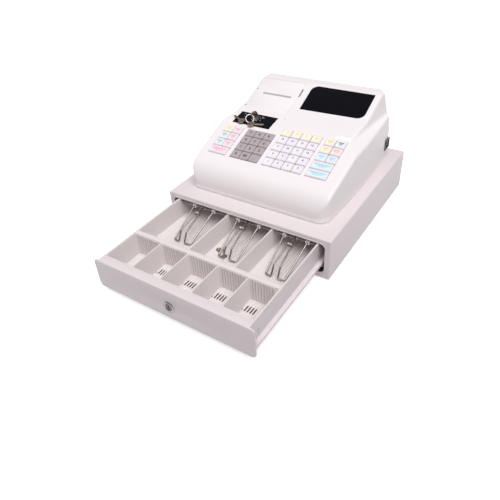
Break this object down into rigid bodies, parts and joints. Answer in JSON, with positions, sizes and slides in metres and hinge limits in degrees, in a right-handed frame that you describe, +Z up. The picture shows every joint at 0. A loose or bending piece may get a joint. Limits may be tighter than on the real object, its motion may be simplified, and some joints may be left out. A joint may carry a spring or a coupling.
{
  "type": "cash register",
  "caption": "Electronic cash register: sloped keyboard, dark display window and receipt printer on a sheet-steel cabinet with an open coin and bill drawer",
  "frame": {"origin": "middle of the whole footprint with the drawer open, on the table under the rubber feet", "axes": "X to the operator's right, Y from the operator towards the rear, which is the longest extent with the drawer open, Z up, which is the shortest"},
  "size_m": [0.33, 0.5534, 0.208],
  "materials": {
    "painted_steel": "satin powder coat, warm white",
    "zinc_steel": "bright zinc plating",
    "bright_steel": "drawn bright wire",
    "nickel": "nickel plate",
    "iron_core": "lacquered laminations",
    "key_brass": "worn brass and nickel",
    "foot_rubber": "moulded rubber",
    "black_rubber": "ground rubber",
    "case_plastic": "fine moulded texture, warm white",
    "roller_plastic": "plain moulded",
    "circuit_board": "solder mask",
    "dark_window": "clear gloss over black",
    "black_plastic": "fine moulded texture",
    "paper": "thermal paper",
    "key_grey": "fine moulded texture",
    "key_teal": "label under a clear cap",
    "key_pink": "label under a clear cap",
    "key_white": "label under a clear cap",
    "key_yellow": "label under a clear cap",
    "key_blue": "label under a clear cap"
  },
  "bodies": {
    "cabinet": {"cabinet_shell": "painted_steel", "cabinet_base": "zinc_steel", "cabinet_feet": "foot_rubber", "slide_rails": "zinc_steel", "latch_solenoid": "zinc_steel", "kick_spring": "bright_steel", "lower_case": "case_plastic", "upper_case": "case_plastic", "case_screws": "bright_steel", "keyboard_board": "circuit_board", "main_board": "circuit_board", "transformer": "iron_core", "display_window": "dark_window", "mode_panel": "dark_window", "mode_lock": "nickel", "printer_frame": "black_plastic", "switch_bezel": "black_plastic", "mains_inlet": "black_plastic"},
    "drawer": {"drawer_front": "painted_steel", "drawer_pan": "painted_steel", "till_tray": "case_plastic", "clip_rod": "bright_steel", "drawer_lock": "nickel", "drawer_keys": "key_brass"},
    "drawer_lock_plug": {"drawer_lock_plug": "nickel"},
    "bill_clip_left": {"bill_clip_left": "bright_steel"},
    "bill_clip_middle": {"bill_clip_middle": "bright_steel"},
    "bill_clip_right": {"bill_clip_right": "bright_steel"},
    "latch_hook": {"latch_hook": "zinc_steel"},
    "platen_roller": {"platen_roller": "black_rubber"},
    "paper_roll": {"paper_roll": "paper"},
    "power_rocker": {"power_rocker": "black_plastic"},
    "cabinet_rollers": {"cabinet_rollers": "roller_plastic"},
    "drawer_rollers": {"drawer_rollers": "roller_plastic"},
    "key_7": {"key_7": "key_grey"},
    "key_8": {"key_8": "key_grey"},
    "key_9": {"key_9": "key_grey"},
    "key_4": {"key_4": "key_grey"},
    "key_5": {"key_5": "key_grey"},
    "key_6": {"key_6": "key_grey"},
    "key_1": {"key_1": "key_grey"},
    "key_2": {"key_2": "key_grey"},
    "key_3": {"key_3": "key_grey"},
    "key_0": {"key_0": "key_grey"},
    "key_00": {"key_00": "key_grey"},
    "key_point": {"key_point": "key_grey"},
    "function_keys_left": {"function_keys_left": "key_teal"},
    "function_keys_right": {"function_keys_right": "key_pink"},
    "function_key_wide": {"function_key_wide": "key_pink"},
    "department_keys_1": {"department_keys_1": "key_white"},
    "department_keys_2": {"department_keys_2": "key_white"},
    "department_keys_3": {"department_keys_3": "key_white"},
    "department_keys_4": {"department_keys_4": "key_white"},
    "total_keys_left": {"total_keys_left": "key_yellow"},
    "total_keys_right": {"total_keys_right": "key_blue"},
    "total_keys_wide": {"total_keys_wide": "key_blue"},
    "mode_key": {"mode_key": "nickel", "spare_keys": "key_brass"},
    "printer_cover": {"printer_cover": "case_plastic", "tear_bar": "bright_steel"}
  },
  "joints": [
    {"name": "drawer_slide", "type": "slide", "parent": "cabinet", "child": "drawer", "axis": [0, 1, 0], "range_m": [0, 0.2075], "deforming": ["kick_spring"]},
    {"name": "bill_clip_left_hinge", "type": "hinge", "parent": "drawer", "child": "bill_clip_left", "pos_m": [-0.0875, -0.06235, 0.063], "axis": [1, 0, 0], "range_deg": [-25, 0], "stiffness_Nm_per_rad": 0.02, "springref_deg": 17.19},
    {"name": "bill_clip_middle_hinge", "type": "hinge", "parent": "drawer", "child": "bill_clip_middle", "pos_m": [0.0087, -0.06235, 0.063], "axis": [1, 0, 0], "range_deg": [-25, 0], "stiffness_Nm_per_rad": 0.02, "springref_deg": 17.19},
    {"name": "bill_clip_right_hinge", "type": "hinge", "parent": "drawer", "child": "bill_clip_right", "pos_m": [0.1016, -0.06235, 0.063], "axis": [1, 0, 0], "range_deg": [-25, 0], "stiffness_Nm_per_rad": 0.02, "springref_deg": 17.19},
    {"name": "mode_key_turn", "type": "hinge", "parent": "cabinet", "child": "mode_key", "pos_m": [-0.0786, 0.10621, 0.17066], "axis": [0, -0.184, 0.9829], "range_deg": [-45, 45]},
    {"name": "latch_hook_swing", "type": "hinge", "parent": "cabinet", "child": "latch_hook", "pos_m": [0, 0.24465, 0.049], "axis": [1, 0, 0], "range_deg": [0, 25]},
    {"name": "drawer_lock_turn", "type": "hinge", "parent": "drawer", "child": "drawer_lock_plug", "pos_m": [0, -0.27485, 0.038], "axis": [0, 1, 0], "range_deg": [0, 90]},
    {"name": "printer_cover_hinge", "type": "hinge", "parent": "cabinet", "child": "printer_cover", "pos_m": [-0.0815, 0.14035, 0.17373], "axis": [1, 0, 0], "range_deg": [0, 70]},
    {"name": "platen_spin", "type": "hinge", "parent": "cabinet", "child": "platen_roller", "pos_m": [-0.083, 0.19465, 0.178], "axis": [1, 0, 0], "continuous": true},
    {"name": "paper_spin", "type": "hinge", "parent": "cabinet", "child": "paper_roll", "pos_m": [-0.083, 0.16865, 0.141], "axis": [1, 0, 0], "continuous": true},
    {"name": "power_rocker_tilt", "type": "hinge", "parent": "cabinet", "child": "power_rocker", "pos_m": [0.13344, 0.23865, 0.108], "axis": [0, 0, -1], "range_deg": [0, 14]},
    {"name": "cabinet_rollers_spin", "type": "hinge", "parent": "cabinet", "child": "cabinet_rollers", "pos_m": [0, -0.05335, 0.0237], "axis": [1, 0, 0], "continuous": true},
    {"name": "drawer_rollers_spin", "type": "hinge", "parent": "drawer", "child": "drawer_rollers", "pos_m": [0, -0.00685, 0.0237], "axis": [1, 0, 0], "continuous": true},
    {"name": "key_7_press", "type": "slide", "parent": "cabinet", "child": "key_7", "axis": [0, 0.3338, -0.9426], "range_m": [0, 0.003], "stiffness_N_per_m": 200},
    {"name": "key_8_press", "type": "slide", "parent": "cabinet", "child": "key_8", "axis": [0, 0.3338, -0.9426], "range_m": [0, 0.003], "stiffness_N_per_m": 200},
    {"name": "key_9_press", "type": "slide", "parent": "cabinet", "child": "key_9", "axis": [0, 0.3338, -0.9426], "range_m": [0, 0.003], "stiffness_N_per_m": 200},
    {"name": "key_4_press", "type": "slide", "parent": "cabinet", "child": "key_4", "axis": [0, 0.3338, -0.9426], "range_m": [0, 0.003], "stiffness_N_per_m": 200},
    {"name": "key_5_press", "type": "slide", "parent": "cabinet", "child": "key_5", "axis": [0, 0.3338, -0.9426], "range_m": [0, 0.003], "stiffness_N_per_m": 200},
    {"name": "key_6_press", "type": "slide", "parent": "cabinet", "child": "key_6", "axis": [0, 0.3338, -0.9426], "range_m": [0, 0.003], "stiffness_N_per_m": 200},
    {"name": "key_1_press", "type": "slide", "parent": "cabinet", "child": "key_1", "axis": [0, 0.3338, -0.9426], "range_m": [0, 0.003], "stiffness_N_per_m": 200},
    {"name": "key_2_press", "type": "slide", "parent": "cabinet", "child": "key_2", "axis": [0, 0.3338, -0.9426], "range_m": [0, 0.003], "stiffness_N_per_m": 200},
    {"name": "key_3_press", "type": "slide", "parent": "cabinet", "child": "key_3", "axis": [0, 0.3338, -0.9426], "range_m": [0, 0.003], "stiffness_N_per_m": 200},
    {"name": "key_0_press", "type": "slide", "parent": "cabinet", "child": "key_0", "axis": [0, 0.3338, -0.9426], "range_m": [0, 0.003], "stiffness_N_per_m": 200},
    {"name": "key_00_press", "type": "slide", "parent": "cabinet", "child": "key_00", "axis": [0, 0.3338, -0.9426], "range_m": [0, 0.003], "stiffness_N_per_m": 200},
    {"name": "key_point_press", "type": "slide", "parent": "cabinet", "child": "key_point", "axis": [0, 0.3338, -0.9426], "range_m": [0, 0.003], "stiffness_N_per_m": 200},
    {"name": "function_keys_left_press", "type": "slide", "parent": "cabinet", "child": "function_keys_left", "axis": [0, 0.3338, -0.9426], "range_m": [0, 0.003], "stiffness_N_per_m": 200},
    {"name": "function_keys_right_press", "type": "slide", "parent": "cabinet", "child": "function_keys_right", "axis": [0, 0.3338, -0.9426], "range_m": [0, 0.003], "stiffness_N_per_m": 200},
    {"name": "function_key_wide_press", "type": "slide", "parent": "cabinet", "child": "function_key_wide", "axis": [0, 0.3338, -0.9426], "range_m": [0, 0.003], "stiffness_N_per_m": 200},
    {"name": "department_keys_1_press", "type": "slide", "parent": "cabinet", "child": "department_keys_1", "axis": [0, 0.3338, -0.9426], "range_m": [0, 0.003], "stiffness_N_per_m": 200},
    {"name": "department_keys_2_press", "type": "slide", "parent": "cabinet", "child": "department_keys_2", "axis": [0, 0.3338, -0.9426], "range_m": [0, 0.003], "stiffness_N_per_m": 200},
    {"name": "department_keys_3_press", "type": "slide", "parent": "cabinet", "child": "department_keys_3", "axis": [0, 0.3338, -0.9426], "range_m": [0, 0.003], "stiffness_N_per_m": 200},
    {"name": "department_keys_4_press", "type": "slide", "parent": "cabinet", "child": "department_keys_4", "axis": [0, 0.3338, -0.9426], "range_m": [0, 0.003], "stiffness_N_per_m": 200},
    {"name": "total_keys_left_press", "type": "slide", "parent": "cabinet", "child": "total_keys_left", "axis": [0, 0.3338, -0.9426], "range_m": [0, 0.003], "stiffness_N_per_m": 200},
    {"name": "total_keys_right_press", "type": "slide", "parent": "cabinet", "child": "total_keys_right", "axis": [0, 0.3338, -0.9426], "range_m": [0, 0.003], "stiffness_N_per_m": 200},
    {"name": "total_keys_wide_press", "type": "slide", "parent": "cabinet", "child": "total_keys_wide", "axis": [0, 0.3338, -0.9426], "range_m": [0, 0.003], "stiffness_N_per_m": 200}
  ],
  "couplings": [
    {"joint": "platen_spin", "follows": "paper_spin", "ratio": -4.3636},
    {"joint": "cabinet_rollers_spin", "follows": "drawer_slide", "rad_per_m": -125},
    {"joint": "drawer_rollers_spin", "follows": "drawer_slide", "rad_per_m": -125}
  ]
}
